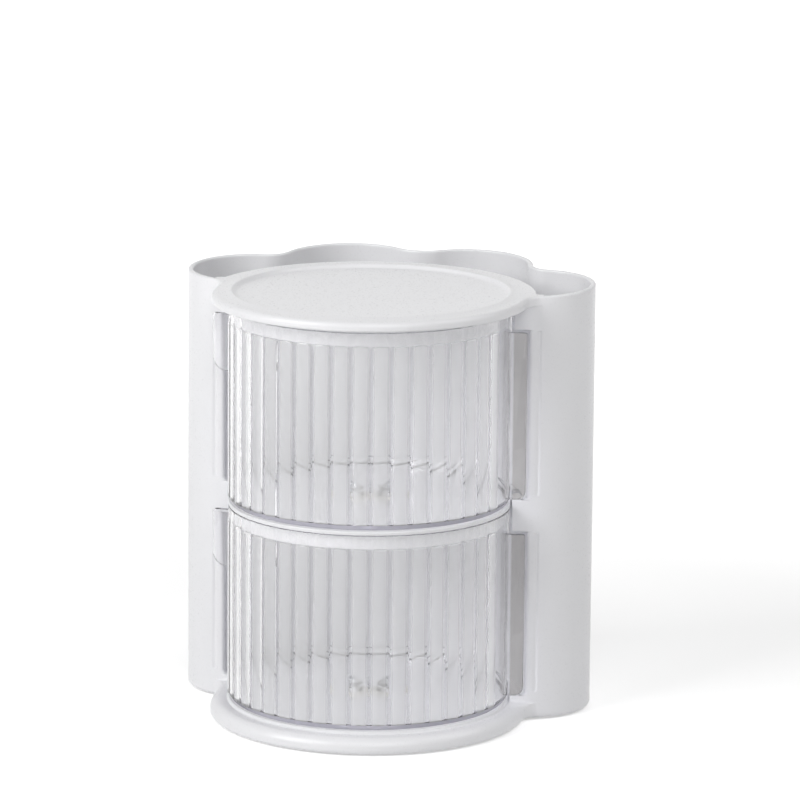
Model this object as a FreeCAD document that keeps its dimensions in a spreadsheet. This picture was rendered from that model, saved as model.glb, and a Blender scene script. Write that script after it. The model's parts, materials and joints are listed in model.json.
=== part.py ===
import FreeCAD, Part
import math
import os
import re
import Sketcher

# Rotating desk organizer. Two clear drums with reeded half walls turn inside a white casing
# whose plan is four lobes: two wings at the sides and two at the back. Lengths are in
# millimetres and angles in degrees. Everything is drawn about the drums' axis, with the desk
# at height 0 and the open front towards -Y. Each piece is then moved along Y, so that the
# origin lies under the middle of the whole object.

SIZES = {
    "front_set": (8.5, "window front behind the axis"),
    "wing_out": (2.5, "wing lobe centre beyond the flute crests, sideways"),
    "wing_radius": (27, "wing lobe radius"),
    "back_x": (26.5, "back lobe centre, sideways from the axis"),
    "back_out": (2, "back lobe centre beyond the flute crests, backwards"),
    "back_radius": (30.6, "back lobe radius"),
    "notch_radius": (9.4, "hollow between a wing and a back lobe"),
    "mid_notch_radius": (15.2, "hollow between the back lobes"),
    "shell_wall": (2.4, "casing wall"),
    "shell_gap": (0.3, "gap between nested mouldings"),
    "shell_foot_round": (2, "round at the casing's lower edge"),
    "rim_drop": (1, "casing rim at the wing fronts, below the tray's top"),
    "rim_rise": (2.4, "casing rim at the back, above the tray's top"),
    "rim_round": (0.9, "round of the casing rim"),
    "pocket_depth": (115.4, "pen pocket, from the rim's front down to its floor"),
    "pocket_floor_thick": (2.2, "pocket floor"),
    "boss_radius": (4.2, "screw boss"),
    "boss_reach": (13, "screw boss, outward from its lobe's centre"),
    "foot_proud": (0.8, "feet below the base"),
    "foot_radius": (6, "foot pad"),
    "foot_thick": (1.8, "foot pad"),
    "foot_gap": (0.1, "foot pad in its recess"),
    "front_foot_set": (17.5, "front foot's centre inside the base's edge"),
    "pillar_wall": (1.5, "wall around a foot recess"),
    "base_height": (7.1, "base moulding"),
    "seat_rise": (1.2, "raised seat under the lower drum"),
    "base_ledge": (7.5, "base beyond the drums"),
    "base_skin": (2.4, "base deck"),
    "base_edge": (4, "base outer wall"),
    "base_round": (4.6, "bull nose on the base's front edge"),
    "base_foot_round": (2, "round at the base's lower edge"),
    "corner_blend": (8, "hollow blend from a round front into a wing"),
    "drum_radius": (62, "drum over the flute crests"),
    "drum_height": (85.6, "drum"),
    "drum_wall": (2.2, "drum wall at a flute crest"),
    "flute_depth": (0.6, "flute"),
    "flute_pitch_angle": (8, "angle from flute to flute"),
    "flute_count": (20, "flutes on a drum"),
    "flute_first_angle": (81.5, "angle of the fluted part's left edge from the front"),
    "flute_share": (0.94, "flute width as a share of the pitch"),
    "flute_start": (2, "plain foot ring below the flutes"),
    "flute_stop": (5.7, "plain band above the flutes"),
    "wall_half_angle": (96.5, "drum wall, from its middle to an end"),
    "floor_thick": (2, "drum floor"),
    "lip_height": (3.2, "lip around the drum floor"),
    "tab_reach": (11.2, "finger tab beyond the flute crests"),
    "tab_height": (26, "finger tab"),
    "tab_drop": (8.2, "finger tab below the wall's top"),
    "tab_thick": (2, "finger tab"),
    "tab_round": (6.5, "finger tab's lower corner"),
    "fin_reach": (6.7, "end fin beyond the flute crests"),
    "fin_rise": (2, "end fin above the drum's underside"),
    "fin_drop": (1.2, "end fin below the guide band"),
    "fin_thick": (2, "end fin"),
    "fin_round": (4, "end fin's lower corner"),
    "post_radius": (3.5, "pivot post"),
    "run_gap": (0.06, "running fit of the drum on its post"),
    "hub_radius": (5.9, "hub around the drum's bore"),
    "hub_height": (1.6, "hub above the drum floor"),
    "cap_thick": (1.8, "pivot cap"),
    "cap_gap": (0.3, "hub below its cap"),
    "cap_round": (0.8, "pivot cap's upper edge"),
    "glide_radius": (10, "glide washer"),
    "glide_thick": (0.5, "glide washer"),
    "screw_radius": (1.5, "screw shank"),
    "screw_gap": (0.05, "screw shank in its hole"),
    "head_radius": (2.8, "screw head"),
    "head_height": (1.4, "screw head"),
    "head_gap": (0.3, "screw head in its sink"),
    "head_sink": (2, "depth of the sinks under the base"),
    "pivot_screw_length": (7, "pivot screw below its head"),
    "shelf_screw_length": (8, "shelf screw below its head"),
    "base_screw_length": (16, "base screw above its head"),
    "hole_spare": (0.4, "screw hole beyond the screw's end"),
    "housing_boss_height": (16, "screw boss behind the housing"),
    "housing_boss_angle": (30, "angle of that boss from the back"),
    "near_screw_angle": (25, "angle of the inner shelf screws from the back"),
    "far_screw_angle": (65, "angle of the outer shelf screws from the back"),
    "peg_angle": (55, "angle of the top's outer pegs from the back"),
    "peg_radius": (1.8, "locating peg under the top"),
    "peg_length": (5, "locating peg"),
    "top_gap": (0.4, "lower drum's wall below the shelf"),
    "tray_gap": (1.9, "upper drum's wall below the top tray"),
    "shelf_thick": (1.6, "shelf"),
    "shelf_setback": (0.4, "shelf's front edge behind the flute crests"),
    "skirt_height": (6.4, "guide skirt below the drum wall's top"),
    "skirt_wall": (2, "guide skirt"),
    "skirt_gap": (1, "guide skirt inside the drum wall"),
    "guide_gap": (0.8, "guide band outside the flute crests"),
    "band_height": (10.9, "guide band"),
    "housing_gap": (1, "housing beyond the end fin"),
    "housing_wall": (2.2, "housing wall"),
    "jamb_cover": (2.1, "window jamb beyond the housing wall, sideways"),
    "jamb_width": (8, "window jamb"),
    "jamb_depth": (6, "window jamb, front to back"),
    "jamb_round": (2.4, "window jamb's inner edge"),
    "top_ledge": (6.9, "top tray beyond the flute crests"),
    "top_height": (5.2, "top tray"),
    "top_border": (8.9, "raised border of the top tray"),
    "top_recess": (1.8, "recess of the top tray"),
    "top_round": (2.4, "top tray's upper edge"),
    "recess_round": (1, "top tray's edge at the recess"),
    "top_foot_round": (0.8, "top tray's lower edge"),
    "right_angle": (90, "quarter of a turn"),
    "overrun": (4, "how far a cutting body runs past what it cuts"),
}

PLACES = {
    "wing_x": "drum_radius + wing_out",
    "wing_y": "front_set + wing_radius",
    "back_y": "drum_radius + back_out",
    "back_reach": "back_y + back_radius",
    "side_reach": "wing_x + wing_radius",
    "base_radius": "drum_radius + base_ledge",
    "front_foot_reach": "base_radius - front_foot_set",
    "axis_shift": "(back_reach - base_radius) / 2",
    "base_top": "foot_proud + base_height",
    "base_screw_seat": "foot_proud + head_sink",
    "seat_top": "base_top + seat_rise",
    "lower_floor": "seat_top + glide_thick",
    "shelf_under": "lower_floor + drum_height + top_gap",
    "shelf_top": "shelf_under + shelf_thick",
    "upper_floor": "shelf_top + glide_thick",
    "top_under": "upper_floor + drum_height + tray_gap",
    "top_level": "top_under + top_height",
    "rim_front": "top_level - rim_drop",
    "rim_back": "top_level + rim_rise",
    "pocket_floor": "rim_front - pocket_depth",
    "valley_radius": "drum_radius - flute_depth",
    "wall_inner": "drum_radius - drum_wall",
    "skirt_outer": "wall_inner - skirt_gap",
    "skirt_inner": "skirt_outer - skirt_wall",
    "housing_inner": "drum_radius + fin_reach + housing_gap",
    "housing_outer": "housing_inner + housing_wall",
    "housing_middle": "housing_inner + housing_wall / 2",
    "jamb_reach": "housing_outer + jamb_cover",
    "band_inner": "drum_radius + guide_gap",
    "seat_radius": "(band_inner + housing_inner) / 2",
    "top_radius": "drum_radius + top_ledge",
    "recess_radius": "top_radius - top_border",
    "post_height": "glide_thick + floor_thick + hub_height + cap_gap",
    "wall_start": "-right_angle - wall_half_angle",
    "wall_end": "wall_half_angle - right_angle",
    "flute_half": "flute_pitch_angle * flute_share / 2",
    "flute_x": "valley_radius * cos(flute_half)",
    "flute_y": "valley_radius * sin(flute_half)",
    "flute_rise": "drum_radius - flute_x",
    "flute_radius": "(flute_y * flute_y + flute_rise * flute_rise) / (2 * flute_rise)",
    "flute_turn": "flute_pitch_angle / 2 - flute_first_angle - right_angle",
    "fin_height": "drum_height + top_gap - band_height - fin_drop - fin_rise",
    "tab_rise": "drum_height - tab_drop - tab_height",
    "wing_span": "sqrt(wing_x * wing_x + wing_y * wing_y)",
    "back_span": "sqrt(back_x * back_x + back_y * back_y)",
    "wing_boss_x": "wing_x + boss_reach * wing_x / wing_span",
    "wing_boss_y": "wing_y + boss_reach * wing_y / wing_span",
    "back_boss_x": "back_x + boss_reach * back_x / back_span",
    "back_boss_y": "back_y + boss_reach * back_y / back_span",
    "housing_boss_span": "housing_inner + boss_radius",
    "housing_boss_x": "housing_boss_span * sin(housing_boss_angle)",
    "housing_boss_y": "housing_boss_span * cos(housing_boss_angle)",
    "blend_reach": "wing_radius + corner_blend",
    "rim_tilt": "atan((rim_back - rim_front) / (back_reach - front_set))",
}
for edge in ("base", "top"):
    span, along = f"{edge}_blend_span", f"{edge}_blend_along"
    PLACES.update({
        span: f"{edge}_radius + corner_blend",
        along: f"({span} * {span} - blend_reach * blend_reach) / (2 * wing_span) + wing_span / 2",
        f"{edge}_blend_across": f"sqrt({span} * {span} - {along} * {along})",
        f"{edge}_blend_x": f"({along} * wing_x + {edge}_blend_across * wing_y) / wing_span",
        f"{edge}_blend_y": f"({along} * wing_y - {edge}_blend_across * wing_x) / wing_span",
        f"{edge}_blend_foot": f"{edge}_blend_y * {edge}_radius / {span}",
    })

SIDES = {"Right": "", "Left": "-"}
NEAR = 1e-3
UP = FreeCAD.Vector(0, 0, 1)

doc = FreeCAD.newDocument("DeskOrganizer")
sizes = doc.addObject("Spreadsheet::Sheet", "Sizes")
places = doc.addObject("Spreadsheet::Sheet", "Places")
nodes = []


def spelled(formula, own="Places."):
    """A formula with each sheet name written out in full."""
    def full(match):
        word = match.group()
        if word in SIZES:
            return "Sizes." + word
        return own + word if word in PLACES else word
    return re.sub(r"[a-z_]+", full, formula)


def number(word):
    """The present value of a sheet cell."""
    return float(getattr(sizes if word in SIZES else places, word))


def near(first, second):
    return abs(first - second) < NEAR


def tie(thing, root="Placement", x=None, y=None, z=None, turn=None, **formulas):
    """Bind a thing's place, its turn about the vertical and its sizes to sheet formulas."""
    formulas.update({root + ".Base.x": x, root + ".Base.y": y, root + ".Base.z": z})
    formulas[root + ".Rotation.Angle"] = turn
    for name, formula in formulas.items():
        if formula is not None:
            thing.setExpression(name, spelled(formula))
    return thing


def cylinder(name, radius, height, **where):
    return tie(doc.addObject("Part::Cylinder", name), Radius=radius, Height=height, **where)


def box(name, length, width, height, **where):
    return tie(doc.addObject("Part::Box", name), Length=length, Width=width, Height=height, **where)


def join(name, *shapes):
    thing = doc.addObject("Part::MultiFuse", name)
    thing.Shapes = list(shapes)
    return thing


def meet(name, *shapes):
    thing = doc.addObject("Part::MultiCommon", name)
    thing.Shapes = list(shapes)
    return thing


def cut(name, base, *tools):
    thing = doc.addObject("Part::Cut", name)
    thing.Base = base
    thing.Tool = tools[0] if len(tools) == 1 else join(name + "Tools", *tools)
    return thing


def ring(name, outer, inner, height, z):
    bore = cylinder(name + "Bore", inner, f"{height} + 2 * overrun", z=f"{z} - overrun")
    return cut(name, cylinder(name + "Disc", outer, height, z=z), bore)


def rounded(name, base, rounds):
    """Round the edges of a base; rounds lists pairs of a size's name and a test of an edge."""
    doc.recompute()
    thing = doc.addObject("Part::Fillet", name)
    thing.Base = base
    thing.Edges = [(place, number(size), number(size)) for size, test in rounds
                   for place, edge in enumerate(base.Shape.Edges, start=1) if test(edge)]
    return thing


def level_circle(height, radius):
    """A test for the circles of one radius about the axis at one height."""
    def test(edge):
        middle = edge.BoundBox.Center
        return (isinstance(edge.Curve, Part.Circle) and near(middle.z, number(height))
                and near(edge.BoundBox.ZLength, 0) and near(edge.Curve.Radius, number(radius)))
    return test


def node(thing, label, y="-axis_shift", **where):
    """Name a finished piece and move it to its place under the shared origin."""
    thing.Label = label
    nodes.append(tie(thing, y=y, **where))


def lobe_outline():
    """The casing's plan: four lobes joined by three hollows and closed by a straight front."""
    wing = (number("wing_x"), number("wing_y"), number("wing_radius"))
    back = (number("back_x"), number("back_y"), number("back_radius"))
    lobes = [wing, back, (-back[0], *back[1:]), (-wing[0], *wing[1:])]
    hollow_radii = [number(size) for size in ("notch_radius", "mid_notch_radius", "notch_radius")]
    hollows = []
    for first, second, radius in zip(lobes, lobes[1:], hollow_radii):
        start = FreeCAD.Vector(first[0], first[1], 0)
        step = FreeCAD.Vector(second[0], second[1], 0) - start
        far_first, far_second = first[2] + radius, second[2] + radius
        along = (far_first ** 2 - far_second ** 2 + step.Length ** 2) / (2 * step.Length)
        across = math.sqrt(far_first ** 2 - along ** 2)
        outward = FreeCAD.Vector(step.y, -step.x, 0)
        middle = start + step * (along / step.Length) + outward * (across / step.Length)
        hollows.append((middle.x, middle.y, radius))

    def bearing(here, there):
        return math.atan2(there[1] - here[1], there[0] - here[0]) % (2 * math.pi)

    def arc(middle, start, end):
        circle = Part.Circle(FreeCAD.Vector(middle[0], middle[1], 0), UP, middle[2])
        return Part.ArcOfCircle(circle, start, end if end > start else end + 2 * math.pi)

    sketch = doc.addObject("Sketcher::SketchObject", "Outline")
    down = 3 * math.pi / 2
    last = len(lobes) - 1
    for place, lobe in enumerate(lobes):
        start = down if place == 0 else bearing(lobe, hollows[place - 1])
        end = down if place == last else bearing(lobe, hollows[place])
        sketch.addGeometry(arc(lobe, start, end))
        if place < last:
            hollow = hollows[place]
            sketch.addGeometry(arc(hollow, bearing(hollow, lobes[place + 1]), bearing(hollow, lobe)))
    front = number("front_set")
    ends = [FreeCAD.Vector(side * wing[0], front, 0) for side in (-1, 1)]
    sketch.addGeometry(Part.LineSegment(*ends))
    for place in range(last):
        sketch.addConstraint(Sketcher.Constraint("Tangent", 2 * place, 2, 2 * place + 1, 2))
        sketch.addConstraint(Sketcher.Constraint("Tangent", 2 * place + 1, 1, 2 * place + 2, 1))
    sketch.addConstraint(Sketcher.Constraint("Tangent", 6, 2, 7, 1))
    sketch.addConstraint(Sketcher.Constraint("Tangent", 7, 2, 0, 1))
    sketch.addConstraint(Sketcher.Constraint("Symmetric", 0, 3, 6, 3, -2))
    sketch.addConstraint(Sketcher.Constraint("Symmetric", 2, 3, 4, 3, -2))
    for first, second in ((0, 6), (2, 4), (1, 5)):
        sketch.addConstraint(Sketcher.Constraint("Equal", first, second))
    for place, size in ((0, "wing_radius"), (2, "back_radius"), (1, "notch_radius"), (3, "mid_notch_radius")):
        row = sketch.addConstraint(Sketcher.Constraint("Radius", place, number(size)))
        sketch.setExpression(f"Constraints[{row}]", spelled(size))
    for place, lobe in ((0, "wing"), (2, "back")):
        for way in ("x", "y"):
            size = f"{lobe}_{way}"
            kind = "Distance" + way.upper()
            row = sketch.addConstraint(Sketcher.Constraint(kind, -1, 1, place, 3, number(size)))
            sketch.setExpression(f"Constraints[{row}]", spelled(size))
    return sketch


def plan_block(name, inset, height, z):
    """The casing's plan, drawn in by an inset, as an upright block."""
    profile = outline
    if inset:
        profile = doc.addObject("Part::Offset2D", name + "Plan")
        profile.Source = outline
        tie(profile, Value=f"-({inset})")
    block = doc.addObject("Part::Extrusion", name)
    block.Base = profile
    block.DirMode = "Custom"
    block.Dir = UP
    block.Solid = True
    return tie(block, LengthFwd=height, z=z)


def screw(name, length, x="0", y="0", seat="0", inverted=False):
    """A pan head screw whose head stands on a seat, or hangs below it when inverted."""
    head_z = f"{seat} - head_height" if inverted else seat
    shank_z = seat if inverted else f"{seat} - {length}"
    head = cylinder(name + "Head", "head_radius", "head_height", x=x, y=y, z=head_z)
    shank = cylinder(name + "Shank", "screw_radius", length, x=x, y=y, z=shank_z)
    return join(name, head, shank)


def screw_hole(name, length, x="0", y="0", z="0"):
    return cylinder(name, "screw_radius + screw_gap", length, x=x, y=y, z=z)


def both_sides(make, name, x, **more):
    """One piece on the right and its twin on the left."""
    return [make(name + side, x=f"{sign}({x})", **more) for side, sign in SIDES.items()]


def front_corners(edge, height, z):
    """The two corners that join a round front to the wings, each hollowed by a blend."""
    corner = box(edge.title() + "Corner", "2 * jamb_reach", f"front_set + jamb_depth - {edge}_blend_foot",
                 height, x="-jamb_reach", y=f"{edge}_blend_foot", z=z)
    blends = both_sides(cylinder, edge.title() + "Blend", f"{edge}_blend_x", y=f"{edge}_blend_y",
                        radius="corner_blend", height=f"{z} + {height} + overrun")
    return cut(edge.title() + "Corners", corner, *blends)


for row, (name, (value, note)) in enumerate(SIZES.items(), start=1):
    sizes.set(f"A{row}", note)
    sizes.set(f"B{row}", str(value))
    sizes.setAlias(f"B{row}", name)
for row, (name, formula) in enumerate(PLACES.items(), start=1):
    places.set(f"B{row}", "=" + spelled(formula, own=""))
    places.setAlias(f"B{row}", name)
doc.recompute()
outline = lobe_outline()

# Outer shell: the lobed wall with a window at the front, the pockets' floor and four bosses.
shell_full = plan_block("ShellOuter", "", "rim_back + overrun - foot_proud", "foot_proud")
shell_core = plan_block("ShellInner", "shell_wall", "rim_back + 3 * overrun", "foot_proud - overrun")
web_plan = plan_block("WebPlan", "shell_wall / 2", "pocket_floor_thick", "pocket_floor - pocket_floor_thick")
web_hole = cylinder("WebHole", "housing_outer + shell_gap", "rim_back")
boss_sizes = {"radius": "boss_radius", "height": "pocket_floor - base_top - pocket_floor_thick / 2",
              "z": "base_top"}
shell_bosses = (both_sides(cylinder, "WingBoss", "wing_boss_x", y="wing_boss_y", **boss_sizes)
                + both_sides(cylinder, "BackBoss", "back_boss_x", y="back_boss_y", **boss_sizes))
shell_body = join("ShellBody", cut("ShellWall", shell_full, shell_core), cut("Web", web_plan, web_hole),
                  *shell_bosses)
window = box("Window", "2 * jamb_reach", "jamb_depth + overrun", "rim_back + 2 * overrun",
             x="-jamb_reach", y="front_set - overrun")
rim_cut = box("RimCut", "2 * (side_reach + overrun)", "2 * back_reach", "rim_back",
              x="-side_reach - overrun", y="front_set - overrun * cos(rim_tilt)",
              z="rim_front - overrun * sin(rim_tilt)")
rim_cut.Placement = FreeCAD.Placement(FreeCAD.Vector(), FreeCAD.Rotation(FreeCAD.Vector(1, 0, 0), 1))
tie(rim_cut, turn="rim_tilt")
thread = {"length": "base_screw_seat + base_screw_length + hole_spare + overrun - base_top",
          "z": "base_top - overrun"}
shell_holes = (both_sides(screw_hole, "WingThread", "wing_boss_x", y="wing_boss_y", **thread)
               + both_sides(screw_hole, "BackThread", "back_boss_x", y="back_boss_y", **thread))
shell_cut = cut("ShellCut", shell_body, window, rim_cut, *shell_holes)


def on_rim(edge):
    slope = (number("rim_back") - number("rim_front")) / (number("back_reach") - number("front_set"))
    return all(near(corner.Z, number("rim_front") + slope * (corner.Y - number("front_set")))
               for corner in edge.Vertexes)


def on_shell_foot(edge):
    radii = [number(size) for size in ("wing_radius", "back_radius", "notch_radius", "mid_notch_radius")]
    return (isinstance(edge.Curve, Part.Circle) and near(edge.BoundBox.ZMax, number("foot_proud"))
            and any(near(edge.Curve.Radius, radius) for radius in radii))


shell = rounded("Shell", shell_cut, [("rim_round", on_rim), ("shell_foot_round", on_shell_foot)])
node(shell, "outer_shell")

# Drum housing: the wall behind the drums, two jambs in the window and two guide bands.
tube = ring("Tube", "housing_outer", "housing_inner", "top_under - base_top", "base_top")
jambs = [box("Jamb" + side, "jamb_width", "jamb_depth + overrun", "top_under - base_top",
             x=x, y="front_set - overrun", z="base_top")
         for side, x in (("Right", "jamb_reach - jamb_width"), ("Left", "-jamb_reach"))]
jamb_pair = cut("JambPair", join("Jambs", *jambs), cylinder("JambBore", "housing_middle", "rim_back"))
bands = [ring(name + "Band", "housing_middle", "band_inner", "band_height", f"{under} - band_height")
         for name, under in (("Mid", "shelf_under"), ("Top", "top_under"))]
boss_sizes = {"radius": "boss_radius", "height": "housing_boss_height", "z": "base_top"}
housing_bosses = both_sides(cylinder, "HousingBoss", "housing_boss_x", y="housing_boss_y", **boss_sizes)
housing_bore = cylinder("HousingBore", "housing_inner", "housing_boss_height", z="base_top")
housing_plan = plan_block("HousingPlan", "", "top_under", "0")
housing_body = meet("HousingBody", housing_plan,
                    join("HousingParts", tube, jamb_pair, *bands,
                         cut("HousingBosses", join("BossPair", *housing_bosses), housing_bore)))
housing_holes = both_sides(screw_hole, "HousingThread", "housing_boss_x", y="housing_boss_y", **thread)
shelf_spots = {name + side: (f"{sign}seat_radius * sin({turn})", f"seat_radius * cos({turn})")
               for name, turn in (("Near", "near_screw_angle"), ("Far", "far_screw_angle"))
               for side, sign in SIDES.items()}
for name, (x, y) in shelf_spots.items():
    housing_holes.append(screw_hole("ShelfThread" + name, "shelf_screw_length + hole_spare", x=x, y=y,
                                    z="shelf_top - shelf_screw_length - hole_spare"))
peg_spots = {"Back": ("0", "seat_radius")}
peg_spots.update({side: (f"{sign}seat_radius * sin(peg_angle)", "seat_radius * cos(peg_angle)")
                  for side, sign in SIDES.items()})
for name, (x, y) in peg_spots.items():
    housing_holes.append(cylinder("PegHole" + name, "peg_radius + screw_gap", "peg_length + overrun",
                                  x=x, y=y, z="top_under - peg_length - hole_spare"))
housing_cut = cut("HousingCut", housing_body, *housing_holes)


def on_jamb_edge(edge):
    middle = edge.BoundBox.Center
    upright = near(edge.BoundBox.XLength, 0) and near(edge.BoundBox.YLength, 0)
    span = math.hypot(middle.x, middle.y)
    at_front = middle.y < number("front_set") + number("jamb_round")
    tall = edge.BoundBox.ZLength > number("band_height")
    return upright and near(span, number("housing_inner")) and at_front and tall


housing = rounded("Housing", housing_cut, [("jamb_round", on_jamb_edge)])
node(housing, "drum_housing")

# Base: a round front with a bull nose, blended into the wings, and a back part inside the shell.
disc = rounded("BaseFront", cylinder("BaseDisc", "base_radius", "base_height", z="foot_proud"),
               [("base_round", level_circle("base_top", "base_radius")),
                ("base_foot_round", level_circle("foot_proud", "base_radius"))])
back_part = plan_block("BasePlan", "shell_wall + shell_gap", "base_height", "foot_proud")
deck = join("Deck", disc, front_corners("base", "base_height", "foot_proud"), back_part)
hollow_sizes = {"height": "base_top - base_skin", "z": "0"}
hollow = join("Hollow", cylinder("FrontHollow", "base_radius - base_edge", **hollow_sizes),
              plan_block("BackHollow", "shell_wall + shell_gap + base_edge", **hollow_sizes))
foot_spots = {"foot_front": ("0", "-front_foot_reach"), "foot_left": ("-wing_x", "wing_y"),
              "foot_right": ("wing_x", "wing_y"), "foot_back_left": ("-back_x", "back_y"),
              "foot_back_right": ("back_x", "back_y")}
base_spots = {"Wing": ("wing_boss_x", "wing_boss_y"), "Back": ("back_boss_x", "back_boss_y"),
              "Housing": ("housing_boss_x", "housing_boss_y")}
pillars = []
sinks = []
for label, (x, y) in foot_spots.items():
    pillars.append(cylinder(label + "_pillar", "foot_radius + pillar_wall", "base_height", x=x, y=y,
                            z="foot_proud"))
    sinks.append(cylinder(label + "_recess", "foot_radius + foot_gap", "foot_thick", x=x, y=y))
for name, (x, y) in base_spots.items():
    pillars += both_sides(cylinder, name + "Pillar", x, y=y, radius="boss_radius", height="base_height",
                          z="foot_proud")
    sinks += both_sides(cylinder, name + "Sink", x, y=y, radius="head_radius + head_gap",
                        height="base_screw_seat")
    sinks += both_sides(screw_hole, name + "Way", x, y=y, length="base_top + overrun")
seat = cylinder("BaseSeat", "drum_radius - shelf_setback", "seat_rise + base_skin", z="base_top - base_skin")
post = cylinder("BasePost", "post_radius", "post_height + base_skin", z="seat_top - base_skin")
pilot_length = "pivot_screw_length - cap_thick + hole_spare"
base_pilot = screw_hole("BasePilot", f"{pilot_length} + overrun",
                        z=f"seat_top + post_height - ({pilot_length})")
base_body = join("BaseBody", cut("HollowDeck", deck, hollow), seat, post, *pillars)
node(cut("Base", base_body, base_pilot, *sinks), "base_plate")

# Shelf: a plate on the middle band, with a skirt that guides the lower drum and a post for the upper.
shelf_front = cylinder("ShelfFront", "drum_radius - shelf_setback", "shelf_thick", z="shelf_under")
shelf_disc = cylinder("ShelfDisc", "housing_inner - shell_gap", "shelf_thick", z="shelf_under")
shelf_plan = plan_block("ShelfPlan", "shell_gap", "shelf_thick", "shelf_under")
shelf_skirt = ring("ShelfSkirt", "skirt_outer", "skirt_inner", "skirt_height + top_gap + shelf_thick / 2",
                   "shelf_under - top_gap - skirt_height")
shelf_post = cylinder("ShelfPost", "post_radius", "post_height + shelf_thick", z="shelf_under")
shelf_holes = [screw_hole("ShelfPilot", f"{pilot_length} + overrun",
                          z=f"shelf_top + post_height - ({pilot_length})")]
for name, (x, y) in shelf_spots.items():
    shelf_holes.append(screw_hole("ShelfWay" + name, "shelf_thick + 2 * overrun", x=x, y=y,
                                  z="shelf_under - overrun"))
shelf_back = meet("ShelfBack", shelf_disc, shelf_plan)
shelf_body = join("ShelfBody", shelf_front, shelf_back, shelf_skirt, shelf_post)
node(cut("Shelf", shelf_body, *shelf_holes), "mid_shelf")

# Top tray: a disc with a raised border that covers the housing and runs into the wings, a skirt
# that guides the upper drum, and three pegs.
tray_disc = rounded("TrayDisc", cylinder("TrayBlank", "top_radius", "top_height", z="top_under"),
                    [("top_round", level_circle("top_level", "top_radius")),
                     ("top_foot_round", level_circle("top_under", "top_radius"))])
tray_cover = meet("TrayCover", plan_block("TrayPlan", "", "rim_front - top_under", "top_under"),
                  cylinder("TrayBack", "housing_outer", "rim_front - top_under", z="top_under"))
tray_corners = rounded("TrayCorners", front_corners("top", "rim_front - top_under", "top_under"),
                       [("top_round", level_circle("rim_front", "corner_blend"))])
tray_recess = cylinder("TrayRecess", "recess_radius", "overrun", z="top_level - top_recess")
tray = rounded("Tray", cut("TrayCut", join("TrayBody", tray_disc, tray_cover, tray_corners), tray_recess),
               [("recess_round", level_circle("top_level", "recess_radius"))])
tray_skirt = ring("TraySkirt", "skirt_outer", "skirt_inner",
                  "skirt_height + tray_gap + (top_height - top_recess) / 2",
                  "top_under - tray_gap - skirt_height")
pegs = [cylinder("Peg" + name, "peg_radius", "peg_length + (top_height - top_recess) / 2", x=x, y=y,
                 z="top_under - peg_length") for name, (x, y) in peg_spots.items()]
node(join("Top", tray, tray_skirt, *pegs), "top_plate")


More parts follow.
